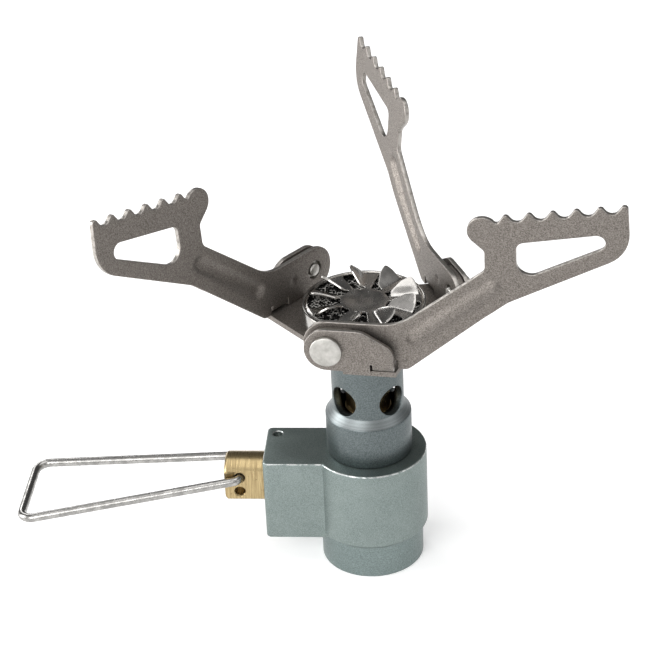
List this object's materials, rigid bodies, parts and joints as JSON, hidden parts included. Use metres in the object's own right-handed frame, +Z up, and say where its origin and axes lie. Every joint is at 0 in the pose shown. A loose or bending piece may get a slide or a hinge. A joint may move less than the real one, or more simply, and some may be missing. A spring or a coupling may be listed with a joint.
{
  "type": "camping stove",
  "caption": "Folding canister-top camping stove: a burner on a mixing tube over a needle valve with a wire handle, and pot supports that fold down beside the column.",
  "frame": {"origin": "centre of the threaded collar's bottom face, where the stove stands or meets the gas canister", "axes": "+Z up the burner column; -X along the valve stem towards the wire handle; +Y completes the right-handed frame"},
  "size_m": [0.1012, 0.0713, 0.0766],
  "materials": {
    "anodised_body": "bead-blasted and anodised grey-green",
    "anodised_tube": "turned and anodised dark grey",
    "titanium": "blasted titanium sheet, warm grey, with bright cut edges",
    "polished_stainless": "polished stainless steel, slightly heat tinted",
    "stainless": "drawn stainless wire, satin",
    "rivet": "satin steel",
    "brass": "machined brass",
    "flame_strip": "blackened corrugated metal strip",
    "rubber": "matt black"
  },
  "bodies": {
    "stove": {"valve_body": "anodised_body", "canister_gasket": "rubber", "depressor_pin": "brass", "inlet_filter": "stainless", "retaining_pin": "stainless", "jet": "brass", "jet_washer": "brass", "mixing_tube": "anodised_tube", "bracket": "titanium", "burner_cup": "polished_stainless", "burner_cap": "polished_stainless", "flame_strip": "flame_strip", "pivot_rivet_right": "rivet", "pivot_rivet_back": "rivet", "pivot_rivet_left": "rivet"},
    "arm_right": {"arm_right": "titanium"},
    "arm_back": {"arm_back": "titanium"},
    "arm_left": {"arm_left": "titanium"},
    "seal": {"stem_seal": "rubber"},
    "stem": {"valve_stem": "brass"},
    "handle": {"wire_handle": "stainless"}
  },
  "joints": [
    {"name": "arm_right_fold", "type": "hinge", "parent": "stove", "child": "arm_right", "pos_m": [-0.00504, -0.01436, 0.049], "axis": [-0.1219, -0.9925, 0], "range_deg": [0, 230]},
    {"name": "arm_back_fold", "type": "hinge", "parent": "stove", "child": "arm_back", "pos_m": [0.01496, 0.00282, 0.049], "axis": [0.9205, 0.3907, 0], "range_deg": [0, 230]},
    {"name": "arm_left_fold", "type": "hinge", "parent": "stove", "child": "arm_left", "pos_m": [-0.00992, 0.01154, 0.049], "axis": [-0.7986, 0.6018, 0], "range_deg": [0, 230]},
    {"name": "stem_slide", "type": "slide", "parent": "stove", "child": "seal", "axis": [-1, 0, 0], "range_m": [0, 0.0011]},
    {"name": "stem_turn", "type": "hinge", "parent": "seal", "child": "stem", "pos_m": [-0.02, 0, 0.015], "axis": [-1, 0, 0], "range_deg": [0, 540]},
    {"name": "handle_fold", "type": "hinge", "parent": "stem", "child": "handle", "pos_m": [-0.02215, 0, 0.01638], "axis": [0, 1, 0], "range_deg": [-80, 80]}
  ],
  "couplings": [
    {"joint": "arm_back_fold", "follows": "arm_right_fold", "ratio": 1},
    {"joint": "arm_left_fold", "follows": "arm_right_fold", "ratio": 1},
    {"joint": "stem_slide", "follows": "stem_turn", "m_per_rad": 0.00011141}
  ]
}
